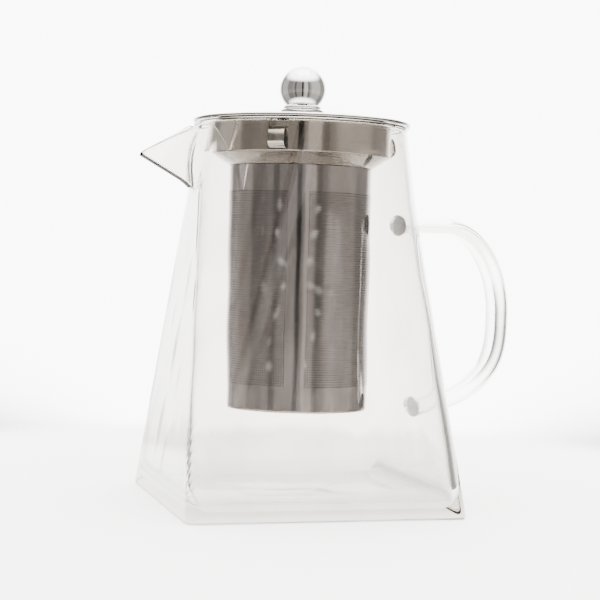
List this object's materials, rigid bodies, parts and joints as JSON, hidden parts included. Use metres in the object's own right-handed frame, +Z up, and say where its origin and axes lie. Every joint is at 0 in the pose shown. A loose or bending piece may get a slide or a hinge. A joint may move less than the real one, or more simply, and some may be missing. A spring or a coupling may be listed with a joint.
{
  "type": "teapot",
  "caption": "Square-based clear glass teapot with a pulled spout, a side handle, a lift-out perforated steel infuser and a domed steel lid with a ball knob.",
  "frame": {"origin": "centre of the square base's flat underside", "axes": "+Z up through the knob, spout along -X, handle along +X"},
  "size_m": [0.1562, 0.1098, 0.175],
  "materials": {
    "clear_glass": "clear, fire polished",
    "polished_steel": "polished stainless steel",
    "mirror_steel": "mirror polished stainless steel"
  },
  "bodies": {
    "pot": {"glass_body": "clear_glass", "glass_handle": "clear_glass"},
    "infuser": {"infuser_collar": "polished_steel", "infuser_tube": "polished_steel", "infuser_base": "polished_steel"},
    "spring_front": {"infuser_spring_front": "polished_steel"},
    "spring_back": {"infuser_spring_back": "polished_steel"},
    "spring_handle": {"infuser_spring_handle": "polished_steel"},
    "lid": {"lid_cover": "mirror_steel", "lid_skirt": "polished_steel", "knob_ring": "mirror_steel", "knob_ball": "mirror_steel", "knob_washer": "polished_steel", "knob_screw": "polished_steel"}
  },
  "joints": [
    {"name": "infuser_lift", "type": "slide", "parent": "pot", "child": "infuser", "axis": [0, 0, 1], "range_m": [0, 0.13]},
    {"name": "lid_lift", "type": "slide", "parent": "infuser", "child": "lid", "axis": [0, 0, 1], "range_m": [0, 0.06]},
    {"name": "spring_front_flex", "type": "hinge", "parent": "infuser", "child": "spring_front", "pos_m": [-0.01787, -0.03096, 0.13935], "axis": [-0.866, 0.5, 0], "range_deg": [0, 8], "stiffness_Nm_per_rad": 0.05},
    {"name": "spring_back_flex", "type": "hinge", "parent": "infuser", "child": "spring_back", "pos_m": [-0.01787, 0.03096, 0.13935], "axis": [0.866, 0.5, 0], "range_deg": [0, 8], "stiffness_Nm_per_rad": 0.05},
    {"name": "spring_handle_flex", "type": "hinge", "parent": "infuser", "child": "spring_handle", "pos_m": [0.03575, 0, 0.13935], "axis": [0, -1, 0], "range_deg": [0, 8], "stiffness_Nm_per_rad": 0.05}
  ]
}
